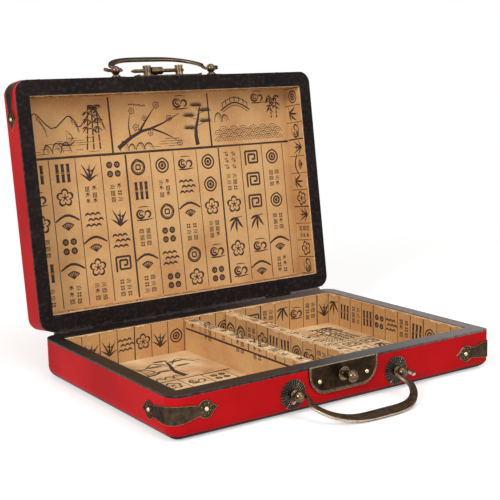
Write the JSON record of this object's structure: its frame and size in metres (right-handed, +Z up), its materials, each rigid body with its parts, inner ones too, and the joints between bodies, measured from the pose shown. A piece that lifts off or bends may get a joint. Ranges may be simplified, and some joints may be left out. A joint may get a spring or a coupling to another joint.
{
  "type": "game case",
  "caption": "Hinged wooden game case in red leatherette, lid standing open, with compartments, two swinging bail handles and a ball-stud latch.",
  "frame": {"origin": "middle of the tray's underside, on the surface the case stands on", "axes": "+X to the right seen from the latch side, -Y the front with the handles and the latch, +Z up"},
  "size_m": [0.3242, 0.3618, 0.2754],
  "materials": {
    "red_leatherette": "satin embossed leatherette",
    "black_trim": "satin black binding",
    "black_cover": "matt black cloth",
    "wood_board": "raw fibreboard, hidden",
    "printed_paper": "matt kraft paper printed in dark brown",
    "antique_bronze": "antiqued, worn bright at the edges",
    "brass_nails": "polished domed heads",
    "hinge_brass": "dull antiqued brass"
  },
  "bodies": {
    "tray": {"hinge_pins": "hinge_brass", "latch_stud": "antique_bronze", "left_divider_board": "wood_board", "left_divider_paper": "printed_paper", "right_divider_board": "wood_board", "right_divider_paper": "printed_paper", "tray_back_board": "wood_board", "tray_bottom_cover": "black_cover", "tray_corner_guard_left": "antique_bronze", "tray_corner_guard_right": "antique_bronze", "tray_eye_post_left": "antique_bronze", "tray_eye_post_right": "antique_bronze", "tray_front_board": "wood_board", "tray_guard_nails": "brass_nails", "tray_hinge_leaf_left": "hinge_brass", "tray_hinge_leaf_right": "hinge_brass", "tray_hinge_screws": "hinge_brass", "tray_hinge_strips": "black_trim", "tray_latch_pins": "brass_nails", "tray_latch_plate": "antique_bronze", "tray_left_board": "wood_board", "tray_panel": "wood_board", "tray_panel_lining": "printed_paper", "tray_right_board": "wood_board", "tray_rim_trim": "black_trim", "tray_rosette_left": "antique_bronze", "tray_rosette_right": "antique_bronze", "tray_skin": "red_leatherette", "tray_wall_lining": "printed_paper"},
    "lid": {"latch_post_left": "antique_bronze", "latch_post_right": "antique_bronze", "lid_back_board": "wood_board", "lid_corner_guard_left": "antique_bronze", "lid_corner_guard_right": "antique_bronze", "lid_eye_post_left": "antique_bronze", "lid_eye_post_right": "antique_bronze", "lid_front_board": "wood_board", "lid_guard_nails": "brass_nails", "lid_hinge_leaf_left": "hinge_brass", "lid_hinge_leaf_right": "hinge_brass", "lid_hinge_screws": "hinge_brass", "lid_hinge_strips": "black_trim", "lid_latch_pins": "brass_nails", "lid_latch_plate": "antique_bronze", "lid_left_board": "wood_board", "lid_panel": "wood_board", "lid_panel_lining": "printed_paper", "lid_right_board": "wood_board", "lid_rim_trim": "black_trim", "lid_rosette_left": "antique_bronze", "lid_rosette_right": "antique_bronze", "lid_skin": "red_leatherette", "lid_wall_lining": "printed_paper"},
    "tray_bail": {"tray_bail": "antique_bronze"},
    "lid_bail": {"lid_bail": "antique_bronze"},
    "latch_bar": {"latch_bar": "antique_bronze"},
    "hasp": {"hasp": "antique_bronze"}
  },
  "joints": [
    {"name": "lid_hinge", "type": "hinge", "parent": "tray", "child": "lid", "pos_m": [0, 0.11295, 0.0357], "axis": [1, 0, 0], "range_deg": [0, 97.6]},
    {"name": "tray_bail_swing", "type": "hinge", "parent": "tray", "child": "tray_bail", "pos_m": [0, -0.119, 0.0176], "axis": [1, 0, 0], "range_deg": [-44, 68]},
    {"name": "lid_bail_swing", "type": "hinge", "parent": "lid", "child": "lid_bail", "pos_m": [0, 0.16018, 0.2634], "axis": [1, 0, 0], "range_deg": [-45, 88]},
    {"name": "latch_bar_slide", "type": "slide", "parent": "lid", "child": "latch_bar", "axis": [1, 0, 0], "range_m": [0, 0.008]},
    {"name": "hasp_swing", "type": "hinge", "parent": "latch_bar", "child": "hasp", "pos_m": [0, 0.15772, 0.26232], "axis": [1, 0, 0], "range_deg": [0, 213]}
  ]
}
